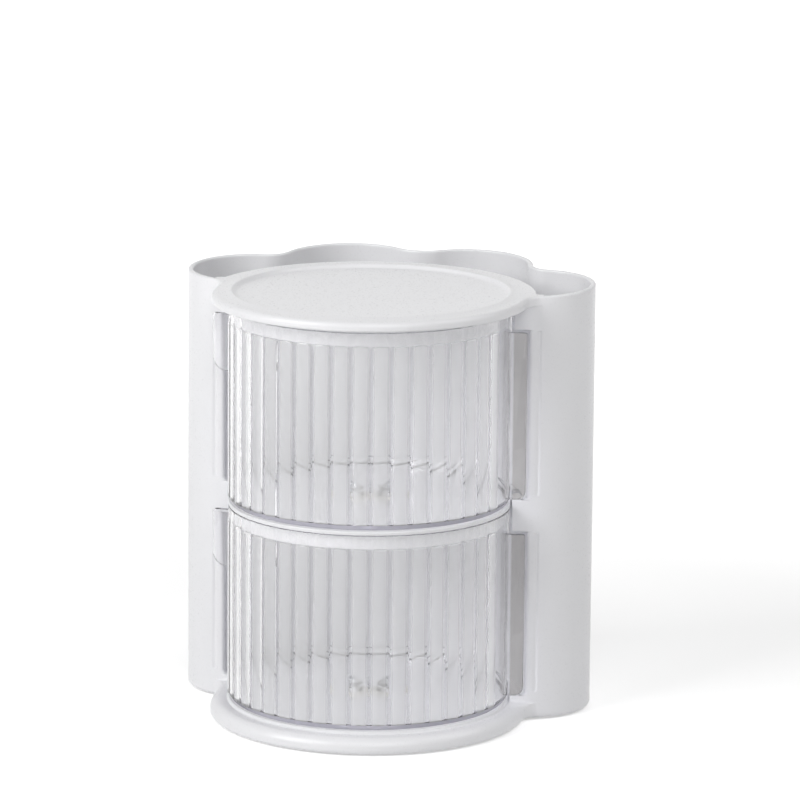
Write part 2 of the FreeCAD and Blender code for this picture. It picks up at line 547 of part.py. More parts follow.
def drum(label, underside):
    """A clear drum: floor with a lip, half wall with flutes, finger tab, end fin and hub."""
    name = label.title().replace("_", "")
    body = doc.addObject("PartDesign::Body", name)
    origin = {feature.Role: feature for feature in body.Origin.OriginFeatures}

    def add(kind, part, **formulas):
        thing = body.newObject(kind, name + part)
        thing.AttachmentSupport = (origin["XY_Plane"], [""])
        thing.MapMode = "FlatFace"
        return tie(thing, root="AttachmentOffset", **formulas)

    def soften(feature, size, point):
        """Round the level edge that passes nearest to a point."""
        doc.recompute()
        spot = Part.Vertex(point)
        level = [(edge.distToShape(spot)[0], place)
                 for place, edge in enumerate(feature.Shape.Edges, start=1) if near(edge.BoundBox.ZLength, 0)]
        thing = body.newObject("PartDesign::Fillet", f"{name}{size}")
        thing.Base = (feature, [f"Edge{min(level)[1]}"])
        return tie(thing, Radius=size)

    def rim_point(turn, reach, rise, thick):
        """The middle of a plate's lower outer edge."""
        angle = math.radians(number(turn))
        out = number("drum_radius") + number(reach)
        return FreeCAD.Vector(out * math.cos(angle) - thick * math.sin(angle) / 2,
                              out * math.sin(angle) + thick * math.cos(angle) / 2, number(rise))

    add("PartDesign::AdditiveCylinder", "Floor", Radius="valley_radius",
        Height="floor_thick + lip_height")
    add("PartDesign::AdditiveCylinder", "Wall", Radius="valley_radius", Height="drum_height",
        Angle="2 * wall_half_angle", turn="wall_start")
    tab = add("PartDesign::AdditiveBox", "Tab", Length="drum_radius + tab_reach", Width="tab_thick",
              Height="tab_height", z="tab_rise", turn="wall_start")
    soften(tab, "tab_round", rim_point("wall_start", "tab_reach", "tab_rise", number("tab_thick")))
    fin = add("PartDesign::AdditiveBox", "Fin", Length="drum_radius + fin_reach", Width="fin_thick",
              Height="fin_height", x="fin_thick * sin(wall_end)", y="-fin_thick * cos(wall_end)",
              z="fin_rise", turn="wall_end")
    soften(fin, "fin_round", rim_point("wall_end", "fin_reach", "fin_rise", -number("fin_thick")))
    profile = add("Sketcher::SketchObject", "FlutePlan", z="flute_start", turn="flute_turn")
    swell = number("flute_radius")
    half = math.asin(number("flute_y") / swell)
    circle = Part.Circle(FreeCAD.Vector(number("drum_radius") - swell, 0, 0), UP, swell)
    profile.addGeometry(Part.ArcOfCircle(circle, -half, half))
    profile.addGeometry(Part.LineSegment(circle.value(half), circle.value(-half)))
    profile.addConstraint(Sketcher.Constraint("Coincident", 0, 2, 1, 1))
    profile.addConstraint(Sketcher.Constraint("Coincident", 1, 2, 0, 1))
    profile.addConstraint(Sketcher.Constraint("PointOnObject", 0, 3, -1))
    for kind, end, size in (("DistanceX", 1, "flute_x"), ("DistanceX", 2, "flute_x"),
                            ("DistanceY", 2, "flute_y")):
        row = profile.addConstraint(Sketcher.Constraint(kind, -1, 1, 0, end, number(size)))
        profile.setExpression(f"Constraints[{row}]", spelled(size))
    row = profile.addConstraint(Sketcher.Constraint("Radius", 0, swell))
    profile.setExpression(f"Constraints[{row}]", spelled("flute_radius"))
    flute = body.newObject("PartDesign::Pad", name + "Flute")
    flute.Profile = profile
    tie(flute, Length="drum_height - flute_start - flute_stop")
    flutes = body.newObject("PartDesign::PolarPattern", name + "Flutes")
    flutes.Originals = [flute]
    flutes.Axis = (origin["Z_Axis"], [""])
    tie(flutes, Angle="flute_pitch_angle * (flute_count - 1)", Occurrences="flute_count")
    body.Tip = flutes
    add("PartDesign::SubtractiveCylinder", "Inside", Radius="wall_inner", Height="drum_height",
        z="floor_thick")
    add("PartDesign::AdditiveCylinder", "Hub", Radius="hub_radius", Height="floor_thick + hub_height")
    body.Tip = add("PartDesign::SubtractiveCylinder", "Bore", Radius="post_radius + run_gap",
                   Height="floor_thick + hub_height + 2 * overrun", z="-overrun")
    node(body, label, z=underside)


# Each tier: the drum, the washer that it turns on, and the cap and screw that hold it down.
tiers = (("lower", "seat_top", "lower_floor"), ("upper", "shelf_top", "upper_floor"))
for tier, deck_level, underside in tiers:
    drum(tier + "_drum", underside)
    name = tier.title()
    washer = ring(name + "Washer", "glide_radius", "post_radius + shell_gap", "glide_thick", deck_level)
    node(washer, tier + "_glide_washer")
    cap_seat = f"{deck_level} + post_height"
    cap_disc = cylinder(name + "CapDisc", "hub_radius", "cap_thick", z=cap_seat)
    cap_top = number(deck_level) + number("post_height") + number("cap_thick")
    cap = rounded(name + "CapRound", cap_disc,
                  [("cap_round", lambda edge: edge.Closed and near(edge.BoundBox.ZMin, cap_top))])
    cap_hole = screw_hole(name + "CapHole", "cap_thick + 2 * overrun", z=f"{cap_seat} - overrun")
    node(cut(name + "Cap", cap, cap_hole), tier + "_pivot_cap")
    pivot_screw = screw(name + "PivotScrew", "pivot_screw_length", seat=f"{cap_seat} + cap_thick")
    node(pivot_screw, tier + "_pivot_screw")

shelf_screws = [screw("ShelfScrew" + name, "shelf_screw_length", x=x, y=y, seat="shelf_top")
                for name, (x, y) in shelf_spots.items()]
node(join("ShelfScrews", *shelf_screws), "shelf_screws")
base_screws = []
for name, (x, y) in base_spots.items():
    base_screws += both_sides(screw, name + "Screw", x, y=y, length="base_screw_length",
                              seat="base_screw_seat", inverted=True)
node(join("BaseScrews", *base_screws), "base_screws")
for label, (x, y) in foot_spots.items():
    pad = cylinder(label.title().replace("_", ""), "foot_radius", "foot_thick")
    node(pad, label, x=x, y=f"{y} - axis_shift")

doc.recompute()
for thing in doc.Objects:
    if "Invalid" in thing.State or "Error" in thing.State:
        raise RuntimeError(f"{thing.Name} did not build")
os.makedirs("parts", exist_ok=True)
for thing in nodes:
    if thing.Shape.isNull() or not thing.Shape.isValid():
        raise RuntimeError(f"{thing.Label} has no valid shape")
    thing.Shape.exportStep(f"parts/{thing.Label}.step")
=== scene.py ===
# %% [markdown]
# # A desk organizer with two turning drums
#
# The real object is a white moulded casing with four deep scallops for pens, and two clear reeded drums
# that swing out of its front on a central pivot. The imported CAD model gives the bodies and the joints, so it is
# loaded first and never moved. Everything here is measured in millimetres from the drums' own axis,
# because nearly every shape on the object is a circle around that line.

# %% The frame
import json
import math

import bmesh
import bpy
import numpy as np
from mathutils import Matrix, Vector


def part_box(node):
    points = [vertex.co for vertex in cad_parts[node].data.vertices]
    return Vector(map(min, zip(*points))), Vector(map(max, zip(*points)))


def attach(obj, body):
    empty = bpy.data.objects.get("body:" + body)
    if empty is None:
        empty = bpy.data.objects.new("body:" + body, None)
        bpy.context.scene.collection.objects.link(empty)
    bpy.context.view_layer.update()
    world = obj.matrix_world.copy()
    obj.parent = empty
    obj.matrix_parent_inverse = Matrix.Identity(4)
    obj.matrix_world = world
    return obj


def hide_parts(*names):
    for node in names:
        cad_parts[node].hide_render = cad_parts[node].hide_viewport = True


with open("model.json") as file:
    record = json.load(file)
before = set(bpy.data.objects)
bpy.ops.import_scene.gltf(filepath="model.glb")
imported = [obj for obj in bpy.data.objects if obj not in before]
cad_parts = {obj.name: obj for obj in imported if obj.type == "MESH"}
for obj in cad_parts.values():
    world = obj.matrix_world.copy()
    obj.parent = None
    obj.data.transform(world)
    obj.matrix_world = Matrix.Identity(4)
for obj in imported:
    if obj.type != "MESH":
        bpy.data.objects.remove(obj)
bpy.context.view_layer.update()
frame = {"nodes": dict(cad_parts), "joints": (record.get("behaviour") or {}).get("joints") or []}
MM = 0.001
AXIS_Y = frame["joints"][0]["pos_m"][1]

# %% [markdown]
# ## Skins
#
# A moulded part is one closed skin. Blender could carve it from blocks, but every piece here is a profile that
# travels along a line in plan, so a table of points with rows along the line and columns along the profile
# already is the skin. Neighbours in the table become quads. Welding the points that fall together closes the
# seam of a full turn and the pole where a profile starts on the axis.

# %% From a table of points to a piece
WELD = 2e-6
CREASE = 40.0


def link_piece(name, mesh):
    """Welds a mesh, turns its faces outwards, keeps edges sharper than the crease angle and shows it."""
    shape = bmesh.new()
    shape.from_mesh(mesh)
    bmesh.ops.remove_doubles(shape, verts=shape.verts, dist=WELD)
    bmesh.ops.recalc_face_normals(shape, faces=shape.faces)
    shape.to_mesh(mesh)
    shape.free()
    mesh.shade_smooth()
    mesh.set_sharp_from_angle(angle=math.radians(CREASE))
    piece = bpy.data.objects.new(name, mesh)
    bpy.context.scene.collection.objects.link(piece)
    print(name, len(mesh.polygons), "faces")
    return piece


def skin(name, table, ring=False, tube=False):
    """Quads between neighbours of a table of points in mm about the drum axis.
    A ring joins the last row to the first, a tube the last column to the first; an open tube gets end caps."""
    rows, columns = table.shape[:2]
    index = np.arange(rows * columns).reshape(rows, columns)
    if ring:
        index = np.vstack([index, index[:1]])
    if tube:
        index = np.hstack([index, index[:, :1]])
    quads = np.stack([index[:-1, :-1], index[1:, :-1], index[1:, 1:], index[:-1, 1:]], -1)
    faces = quads.reshape(-1, 4).tolist()
    if tube and not ring:
        faces += [index[0, :-1].tolist(), index[-1, :-1].tolist()]
    mesh = bpy.data.meshes.new(name)
    points = table.reshape(-1, 3) * MM + np.array([0, AXIS_Y, 0])
    mesh.from_pydata(points.tolist(), [], faces)
    return link_piece(name, mesh)


def bend(x, y, radius, start, end, count=9):
    """Points on a circle: its centre plus radius times cosine and sine of an angle from start to end, in degrees."""
    turn = np.radians(np.linspace(start, end, count))
    return np.stack([x + radius * np.cos(turn), y + radius * np.sin(turn)], -1)


def dress(piece, finish, body, slot, *nodes):
    """Gives a piece its material and its body, and hides the CAD nodes that it stands for. The slot is not used."""
    piece.data.materials.clear()
    piece.data.materials.append(finish)
    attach(piece, body)
    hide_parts(*nodes)
    return piece


# %% [markdown]
# ## Finishes
#
# Five real materials make this object. Each is a Principled shader whose numbers start from the plastic or metal
# itself, with procedural variation at the scale that moulding, drawing or plating leaves behind. Object coordinates
# are in metres here, so a pattern with a pitch of p millimetres has a scale of 1000 / p.

# %% Nodes and colours


def linear(code):
    """A hex colour as linear red, green, blue and alpha: the sRGB curve undone channel by channel."""
    part = np.array([int(code[place:place + 2], 16) for place in (1, 3, 5)]) / 255
    flat = np.where(part <= 0.04045, part / 12.92, ((part + 0.055) / 1.055) ** 2.4)
    return (*flat.tolist(), 1.0)


def add(tree, kind, inputs=(), **settings):
    """Adds one node: settings are its own values, and each input is a constant or another node's output."""
    node = tree.nodes.new(kind)
    for name, value in settings.items():
        setattr(node, name, value)
    for name, value in dict(inputs).items():
        if isinstance(value, bpy.types.NodeSocket):
            tree.links.new(value, node.inputs[name])
        else:
            node.inputs[name].default_value = value
    return node


def new_finish(name):
    """An empty material with its output node and its Object coordinates."""
    finish = bpy.data.materials.new(name)
    finish.use_nodes = True
    tree = finish.node_tree
    tree.nodes.clear()
    place = add(tree, "ShaderNodeTexCoord").outputs["Object"]
    return finish, tree, place


def shine(tree, shader):
    """Links a shader to the material's output."""
    add(tree, "ShaderNodeOutputMaterial", {"Surface": shader.outputs[0]})


def seen_rays(tree):
    """1 for camera, mirror and refracted rays, else 0: the largest of three outputs of the Light Path."""
    ray = add(tree, "ShaderNodeLightPath").outputs
    seen = add(tree, "ShaderNodeMath", {0: ray["Is Camera Ray"], 1: ray["Is Glossy Ray"]}, operation="MAXIMUM")
    return add(tree, "ShaderNodeMath", {0: seen.outputs[0], 1: ray["Is Transmission Ray"]}, operation="MAXIMUM")


def pitch(millimetres):
    """The texture scale that repeats once in so many millimetres of Object coordinates."""
    return 1 / (millimetres * MM)


# %% [markdown]
# ### White ABS
#
# The casing is injection moulded ABS with a fine spark-eroded satin. It gives the eye a soft, broad highlight on
# every rounded edge and almost no reflection on the flats. The colour drifts very slightly where the melt flowed,
# and the grain of the mould, about 0.3 mm, is drawn at 0.7 mm so that it shows at all.

# %% Satin moulded white ABS
white_abs, tree, place = new_finish("satin_moulded_white_abs")
flow = add(tree, "ShaderNodeTexNoise", {"Vector": place, "Scale": pitch(45), "Detail": 2.0})
grain = add(tree, "ShaderNodeTexNoise", {"Vector": place, "Scale": pitch(0.7), "Detail": 2.0})
tone = add(tree, "ShaderNodeValToRGB", {"Fac": flow.outputs["Fac"]})
tone.color_ramp.elements[0].color, tone.color_ramp.elements[1].color = linear("#F1F1F3"), linear("#F5F5F7")
satin = add(tree, "ShaderNodeMapRange", {"Value": grain.outputs["Fac"], "To Min": 0.26, "To Max": 0.3})
pits = add(tree, "ShaderNodeBump", {"Height": grain.outputs["Fac"], "Strength": 0.04, "Distance": 0.02 * MM})
shine(tree, add(tree, "ShaderNodeBsdfPrincipled", {"Base Color": tone.outputs["Color"], "IOR": 1.52,
                                                   "Roughness": satin.outputs["Result"],
                                                   "Normal": pits.outputs["Normal"]}))
print(white_abs.name)

# %% [markdown]
# ### Clear polystyrene
#
# The drums are crystal polystyrene, the stiff clear plastic of small boxes. Its index of 1.59 bends light strongly in
# every reed. A faint violet cast builds up only where the eye looks along the plastic, at the floor's edge and the
# tab, so it is an absorption in the volume and not a colour on the face. The reeds' crests are a little hazy from the
# mould, while the grooves, the tab and the floor stay clearer. The haze therefore follows the distance from the drum's
# axis, on the front side only. It thins out towards the left end, which faces the key lamp, as painted shade on that
# side. The end fin's face carries a grey tint, painted shade that makes the slot behind it look dark and deep.

# %% Clear moulded polystyrene
MILK = ((60.2, "#000000"), (60.3, "#D0D0D0"), (60.85, "#D0D0D0"), (60.9, "#5C5C5C"), (61.55, "#5C5C5C"),
        (61.8, "#A4A4A4"))
CAST = ((60.2, "#FFFFFF"), (60.3, "#D9D7E6"), (60.85, "#D9D7E6"), (60.9, "#FFFFFF"))
BACK_CLEAR, FRONT_HAZY = 4.5 * MM, 2.5 * MM
LEFT_END, LEFT_FULL, LEFT_SHADE_SHARE = -60 * MM, -35 * MM, 0.25
# The fin's grey tint is painted shade for the dark slot behind it.
FIN_FROM, FIN_FULL, FIN_PAINTED_SHADE = 62.2 * MM, 62.6 * MM, "#D8D6D2"
clear_styrene, tree, place = new_finish("clear_moulded_polystyrene")
stretch = add(tree, "ShaderNodeMapping", {"Vector": place, "Scale": (1.0, 1.0, 0.01)})
streaks = add(tree, "ShaderNodeTexNoise", {"Vector": stretch.outputs["Vector"], "Scale": pitch(1.1), "Detail": 3.0})
about_axis = add(tree, "ShaderNodeMapping", {"Vector": place, "Location": (0, -AXIS_Y, 0), "Scale": (1.0, 1.0, 0.0)})
reach = add(tree, "ShaderNodeVectorMath", {0: about_axis.outputs["Vector"]}, operation="LENGTH")
depth = add(tree, "ShaderNodeMapRange", {"Value": reach.outputs["Value"], "From Min": 60 * MM, "From Max": 62 * MM})
milk = add(tree, "ShaderNodeValToRGB", {"Fac": depth.outputs["Result"]})
cast = add(tree, "ShaderNodeValToRGB", {"Fac": depth.outputs["Result"]})
for ramp, stops in ((milk.color_ramp, MILK), (cast.color_ramp, CAST)):
    while len(ramp.elements) < len(stops):
        ramp.elements.new(0.5)
    for element, (millimetres, code) in zip(ramp.elements, stops):
        element.position, element.color = (millimetres - 60) / 2, linear(code)
side = add(tree, "ShaderNodeSeparateXYZ", {0: about_axis.outputs["Vector"]})
# Mask of the fin, where the base colour takes the painted shade.
fin_shade_mask = add(tree, "ShaderNodeMapRange", {"Value": side.outputs["X"], "From Min": FIN_FROM, "From Max": FIN_FULL})
fin_painted_shade = add(tree, "ShaderNodeMix", {0: fin_shade_mask.outputs["Result"], 6: cast.outputs["Color"], 7: linear(FIN_PAINTED_SHADE)},
            data_type="RGBA")
front = add(tree, "ShaderNodeMapRange", {"Value": side.outputs["Y"], "From Min": BACK_CLEAR, "From Max": FRONT_HAZY})
haze = add(tree, "ShaderNodeMath", {0: milk.outputs["Color"], 1: front.outputs["Result"]}, operation="MULTIPLY")
# Less haze towards the left end, where the key lamp falls hardest: painted shade on that side.
left_painted_shade = add(tree, "ShaderNodeMapRange", {"Value": side.outputs["X"], "From Min": LEFT_END, "From Max": LEFT_FULL,
                                        "To Min": LEFT_SHADE_SHARE, "To Max": 1.0})
haze = add(tree, "ShaderNodeMath", {0: haze.outputs[0], 1: left_painted_shade.outputs["Result"]}, operation="MULTIPLY")
clarity = add(tree, "ShaderNodeMath", {0: 1.0, 1: haze.outputs[0]}, operation="SUBTRACT")
gloss = add(tree, "ShaderNodeMapRange", {"Value": streaks.outputs["Fac"], "To Min": 0.0, "To Max": 0.02})
shader = add(tree, "ShaderNodeBsdfPrincipled",
             {"Base Color": fin_painted_shade.outputs[2], "Roughness": gloss.outputs["Result"], "IOR": 1.59,
              "Transmission Weight": clarity.outputs[0]})
open_way = add(tree, "ShaderNodeBsdfTransparent", {"Color": linear("#FDFDFE")})
ray = add(tree, "ShaderNodeLightPath").outputs
lamp_ray = add(tree, "ShaderNodeMath", {0: ray["Is Shadow Ray"], 1: ray["Is Diffuse Ray"]}, operation="MAXIMUM")
pane = add(tree, "ShaderNodeMixShader", {0: lamp_ray.outputs[0], 1: shader.outputs[0], 2: open_way.outputs[0]})
tint = add(tree, "ShaderNodeVolumeAbsorption", {"Color": linear("#D2CFE0"), "Density": 11.0})
add(tree, "ShaderNodeOutputMaterial", {"Surface": pane.outputs[0], "Volume": tint.outputs[0]})
print(clear_styrene.name)

# %% [markdown]
# ### Nylon, zinc plate and rubber
#
# The parts that do the work are small and mostly hidden: slip washers of natural nylon, which is milky and waxy;
# screws with a bright zinc plate that clouds in patches; and foot pads of matt grey rubber with a fine dusty grain.

# %% The three small finishes
nylon, tree, place = new_finish("natural_turned_nylon")
cloud = add(tree, "ShaderNodeTexNoise", {"Vector": place, "Scale": pitch(3), "Detail": 3.0})
waxy = add(tree, "ShaderNodeMapRange", {"Value": cloud.outputs["Fac"], "To Min": 0.38, "To Max": 0.52})
milky = add(tree, "ShaderNodeValToRGB", {"Fac": cloud.outputs["Fac"]})
milky.color_ramp.elements[0].color, milky.color_ramp.elements[1].color = linear("#E6E3D8"), linear("#F0EEE6")
shine(tree, add(tree, "ShaderNodeBsdfPrincipled", {"Base Color": milky.outputs["Color"], "IOR": 1.53,
                                                   "Roughness": waxy.outputs["Result"]}))

zinc_plate, tree, place = new_finish("zinc_plated_steel")
cloud = add(tree, "ShaderNodeTexNoise", {"Vector": place, "Scale": pitch(1.2), "Detail": 4.0})
dull = add(tree, "ShaderNodeMapRange", {"Value": cloud.outputs["Fac"], "To Min": 0.22, "To Max": 0.42})
bloom = add(tree, "ShaderNodeValToRGB", {"Fac": cloud.outputs["Fac"]})
bloom.color_ramp.elements[0].color, bloom.color_ramp.elements[1].color = linear("#B9BBC0"), linear("#D6D8DC")
shine(tree, add(tree, "ShaderNodeBsdfPrincipled", {"Base Color": bloom.outputs["Color"], "Metallic": 1.0,
                                                   "Roughness": dull.outputs["Result"]}))

foot_rubber, tree, place = new_finish("matt_grey_rubber")
dust = add(tree, "ShaderNodeTexNoise", {"Vector": place, "Scale": pitch(0.5), "Detail": 3.0})
chalky = add(tree, "ShaderNodeValToRGB", {"Fac": dust.outputs["Fac"]})
chalky.color_ramp.elements[0].color, chalky.color_ramp.elements[1].color = linear("#7A7A7C"), linear("#8A8A8B")
skin_grain = add(tree, "ShaderNodeBump", {"Height": dust.outputs["Fac"], "Strength": 0.3, "Distance": 0.05 * MM})
shine(tree, add(tree, "ShaderNodeBsdfPrincipled", {"Base Color": chalky.outputs["Color"], "Roughness": 0.8,
                                                   "Normal": skin_grain.outputs["Normal"]}))
print(nylon.name, zinc_plate.name, foot_rubber.name)

# %% [markdown]
# ## The scalloped wall
#
# From above, the casing is four lobes: a wing on each side and two at the back, with a small hollow between neighbours.
# All of these are arcs that touch, so the outline is drawn arc by arc, each point with the direction that faces out.
# The wall's profile then rides along it: a rounded foot, the outer face, a rounded rim that climbs towards the back,
# and the inner face. A shallow sink runs round the outside where the pocket floor joins the wall.

# %% The outline in plan
WING, WING_R = np.array([64.5, 35.5]), 27.0
BACK, BACK_R = np.array([26.5, 64.0]), 30.6
NOTCH_R, MID_NOTCH_R = 9.4, 15.2
JAMB_X, FRONT_Y = 74.0, 8.5
STEP = 0.9


def crossings(first, first_reach, second, second_reach):
    """The two points at given distances from two others: along their line by the law of cosines, then square to it."""
    gap = second - first
    span = np.linalg.norm(gap)
    along = (first_reach ** 2 - second_reach ** 2 + span ** 2) / (2 * span)
    across = math.sqrt(first_reach ** 2 - along ** 2)
    foot = first + gap * along / span
    side = np.array([gap[1], -gap[0]]) / span * across
    return foot + side, foot - side


def bearing(start, end):
    """The direction from one point to another, in degrees."""
    return math.degrees(math.atan2(end[1] - start[1], end[0] - start[0]))


def arc_run(centre, radius, start, end, facing=1):
    """Points of an arc with their outward directions; facing is 1 for a bulge and -1 for a hollow."""
    count = max(4, int(radius * math.radians(abs(end - start)) / STEP))
    point = bend(*centre, radius, start, end, count)
    return point, facing * (point - centre) / radius


def joined(runs):
    """Runs of points and directions set end to end, each without its last point, which the next one repeats."""
    return [np.vstack([run[part][:-1] for run in runs[:-1]] + [runs[-1][part]]) for part in (0, 1)]


notch = max(crossings(WING, WING_R + NOTCH_R, BACK, BACK_R + NOTCH_R), key=np.linalg.norm)
mid_notch = np.array([0.0, BACK[1] + math.sqrt((BACK_R + MID_NOTCH_R) ** 2 - BACK[0] ** 2)])
wing_start = -math.degrees(math.acos((JAMB_X - WING[0]) / WING_R))
half = joined([
    arc_run(WING, WING_R, wing_start, bearing(WING, notch)),
    arc_run(notch, NOTCH_R, bearing(notch, WING), bearing(notch, BACK), -1),
    arc_run(BACK, BACK_R, bearing(BACK, notch), bearing(BACK, mid_notch)),
    arc_run(mid_notch, MID_NOTCH_R, bearing(mid_notch, BACK), -90.0, -1)])
MIRROR = np.array([-1.0, 1.0])
scallops, facing = [np.vstack([part[:-1], part[::-1] * MIRROR]) for part in half]
print("outline of", len(scallops), "points, back at", scallops[:, 1].max())

# %% The wall and the pockets' floor
FOOT, RIM_FRONT, RIM_BACK = 0.8, 189.4, 192.76
WALL, RIM_ROUND, FOOT_ROUND = 2.4, 0.9, 2.0
POCKET_FLOOR, FLOOR_THICK = 74.0, 2.2
SINK_DEPTH, SINK_HALF = 0.07, 0.9
HOUSING_OUT = 71.9


def carry(path, out, inward, level):
    """A profile of inward distances and heights carried along a path: path minus inward times the outward direction."""
    flat = path[:, None, :] - inward[..., None] * out[:, None, :]
    return np.concatenate([flat, np.broadcast_to(level, inward.shape)[..., None]], -1)


rim = RIM_FRONT + (RIM_BACK - RIM_FRONT) * (scallops[:, 1:] - FRONT_Y) / (scallops[:, 1].max() - FRONT_Y)
foot = bend(FOOT_ROUND, FOOT + FOOT_ROUND, FOOT_ROUND, -90, -180)
rows = np.concatenate([[4, 20, 50, 68], POCKET_FLOOR - FLOOR_THICK / 2 + np.linspace(-3, 3, 13), [80, 120, 160]])
face = np.stack([SINK_DEPTH * np.exp(-((rows - POCKET_FLOOR + FLOOR_THICK / 2) / SINK_HALF) ** 2), rows], -1)
lip_out = np.vstack([[[0, -2 * RIM_ROUND]], bend(RIM_ROUND, -RIM_ROUND, RIM_ROUND, 180, 90)])
lip_in = np.vstack([bend(WALL - RIM_ROUND, -RIM_ROUND, RIM_ROUND, 90, 0), [[WALL, -2 * RIM_ROUND]]])
inside = np.array([[WALL, POCKET_FLOOR], [WALL, FOOT]])
inward = np.concatenate([foot[:, 0], face[:, 0], lip_out[:, 0], lip_in[:, 0], inside[:, 0]])
fixed = np.concatenate([foot[:, 1], face[:, 1], lip_out[:, 1], lip_in[:, 1], inside[:, 1]])
on_rim = np.concatenate([np.zeros(len(foot) + len(face)), np.ones(len(lip_out) + len(lip_in)), np.zeros(len(inside))])
inward = np.broadcast_to(inward, (len(scallops), len(inward)))
wall = skin("scalloped_wall", carry(scallops, facing, inward, fixed + on_rim * rim), tube=True)
dress(wall, white_abs, "casing", "white_abs", "outer_shell")

outer = scallops - (WALL / 2) * facing
inner = outer * (HOUSING_OUT + 0.3) / np.linalg.norm(outer, axis=1)[:, None]
plan = np.stack([outer, inner, inner, outer], 1)
level = np.broadcast_to(np.array([0, 0, -FLOOR_THICK, -FLOOR_THICK]) + POCKET_FLOOR, plan.shape[:2])
web = skin("pocket_floor", np.concatenate([plan, level[..., None]], -1), tube=True)
dress(web, white_abs, "casing", "white_abs")

# %% [markdown]
# ## The drum housing
#
# Behind the drums stands an upright half tube, and at its front edges two jambs frame the slots beside the drums.
# Seen from above, its section is a loop: out along the tube, round the jamb with a bull nose at the slot, and back
# along the inside. Each height has its own loop, a row of the table. Between the slots the inside of the loop moves in
# to make the bridges, which end in a rounded sill a little above the shelf. A shallow groove beside each slot draws a
# soft line down the jamb, and at the foot a cove leads the sill's face out onto the base.

# %% One loop of the housing
HOUSING_IN, BAND_IN = 69.0, 62.4
JAMB_DEPTH, JAMB_NOSE, BAND_NOSE = 6.0, 1.6, 0.6
BASE_TOP, SHELF_UNDER, SHELF_TOP, TOP_UNDER = 7.9, 95.6, 97.2, 185.2
GROOVE, GROOVE_X, GROOVE_HALF = 0.7, 72.8, 0.8
SILL_STOP = 18.0


def ease(part):
    """A smooth step: 3 t squared minus 2 t cubed, with t kept between 0 and 1."""
    part = np.clip(part, 0, 1)
    return part * part * (3 - 2 * part)


def front_line(x, tuck=0.0, groove=0.0):
    """Where the casing's front lies: the wing's circle, or its lowest line nearer the axis. A tuck draws it back beside
    the drum and fades out towards the wing; a groove dips it by a bell curve along the jamb."""
    away = np.clip(x - WING[0], 0, None)
    dip = groove * np.exp(-((x - GROOVE_X) / GROOVE_HALF) ** 2)
    return WING[1] - np.sqrt(WING_R ** 2 - away ** 2) + tuck * ease((71 - x) / 4) + dip


def housing_half(inside, nose, tuck=0.0, groove=0.0, stop=90.0):
    """Half a loop, from the back of the tube round the right jamb to the back of the inside face.
    The nose's centre is its radius from the front line and from the inside; past the stop angle the inside widens."""
    rear = FRONT_Y + JAMB_DEPTH
    tube_turn = math.degrees(math.asin(rear / HOUSING_OUT))
    tube = bend(0, 0, HOUSING_OUT, 90, tube_turn, 60)
    side_y = front_line(np.array([JAMB_X]), tuck, groove)[0]
    corner = np.array([[JAMB_X, rear], [JAMB_X, side_y]])
    if inside > WING[0] + nose:
        centre = crossings(np.zeros(2), inside + nose, WING, WING_R - nose)[0]
        down = bearing(WING, centre)
    else:
        depth = FRONT_Y + tuck + nose
        centre = np.array([math.sqrt((inside + nose) ** 2 - depth ** 2), depth])
        down = -90.0
    first = centre + nose * np.array([math.cos(math.radians(down)), math.sin(math.radians(down))])
    x = np.linspace(JAMB_X, first[0], 30)[1:-1]
    front = np.stack([x, front_line(x, tuck, groove)], -1)
    round_end = bearing((0, 0), centre) - 180
    bull = bend(*centre, nose, down, round_end if round_end < down else round_end - 360, 14)
    turn = np.linspace(bearing((0, 0), bull[-1]), 90, 70)[1:]
    reach = np.linalg.norm(bull[-1])
    reach = reach + (HOUSING_IN - reach) * ease((turn - stop) / 4)
    bore = np.stack([reach * np.cos(np.radians(turn)), reach * np.sin(np.radians(turn))], -1)
    return np.vstack([tube, corner, front, bull, bore])


def housing_loop(*shape, **more):
    """Both halves of a loop: the right one, then its mirror image back to the start."""
    right = housing_half(*shape, **more)
    return np.vstack([right[:-1], (right[::-1] * MIRROR)[:-1]])


# %% The housing's levels
EDGE, CORNER, COVE, TICK = 0.9, 1.8, 1.6, 0.7
LOWER_SLOT, UPPER_SLOT = (11.0, 84.7), (99.2, 174.3)
quarter = np.radians(np.linspace(0, 90, 6))
plain_slot = housing_loop(HOUSING_IN, JAMB_NOSE)
lined_slot = housing_loop(HOUSING_IN, JAMB_NOSE, groove=GROOVE)
levels = [(BASE_TOP + COVE * (1 - math.cos(a)),
           housing_loop(BAND_IN, BAND_NOSE, tuck=-COVE * (1 - math.sin(a)), stop=SILL_STOP)) for a in quarter]
for sill, bridge, top in ((*LOWER_SLOT, SHELF_UNDER), (*UPPER_SLOT, TOP_UNDER)):
    for a in quarter:
        tuck = EDGE * (1 - math.cos(a))
        levels.append((sill - EDGE * (1 - math.sin(a)), housing_loop(BAND_IN + tuck, BAND_NOSE, tuck, stop=SILL_STOP)))
    for a in quarter:
        hollow = housing_loop(HOUSING_IN - CORNER * (1 - math.sin(a)), JAMB_NOSE, stop=SILL_STOP)
        levels.append((sill + CORNER * (1 - math.cos(a)), hollow))
    levels += [(sill + CORNER + TICK, lined_slot), (bridge - TICK, lined_slot), (bridge, plain_slot)]
    for a in quarter:
        tuck = EDGE * (1 - math.sin(a))
        levels.append((bridge + EDGE * (1 - math.cos(a)), housing_loop(BAND_IN + tuck, BAND_NOSE, tuck)))
    levels.append((top, housing_loop(BAND_IN, BAND_NOSE)))
    if top < TOP_UNDER:
        levels.append((top, housing_loop(BAND_IN, BAND_NOSE, stop=SILL_STOP)))
table = np.stack([np.column_stack([loop, np.full(len(loop), height)]) for height, loop in levels])
housing = skin("drum_housing_wall", table, tube=True)
dress(housing, white_abs, "casing", "white_abs", "drum_housing")

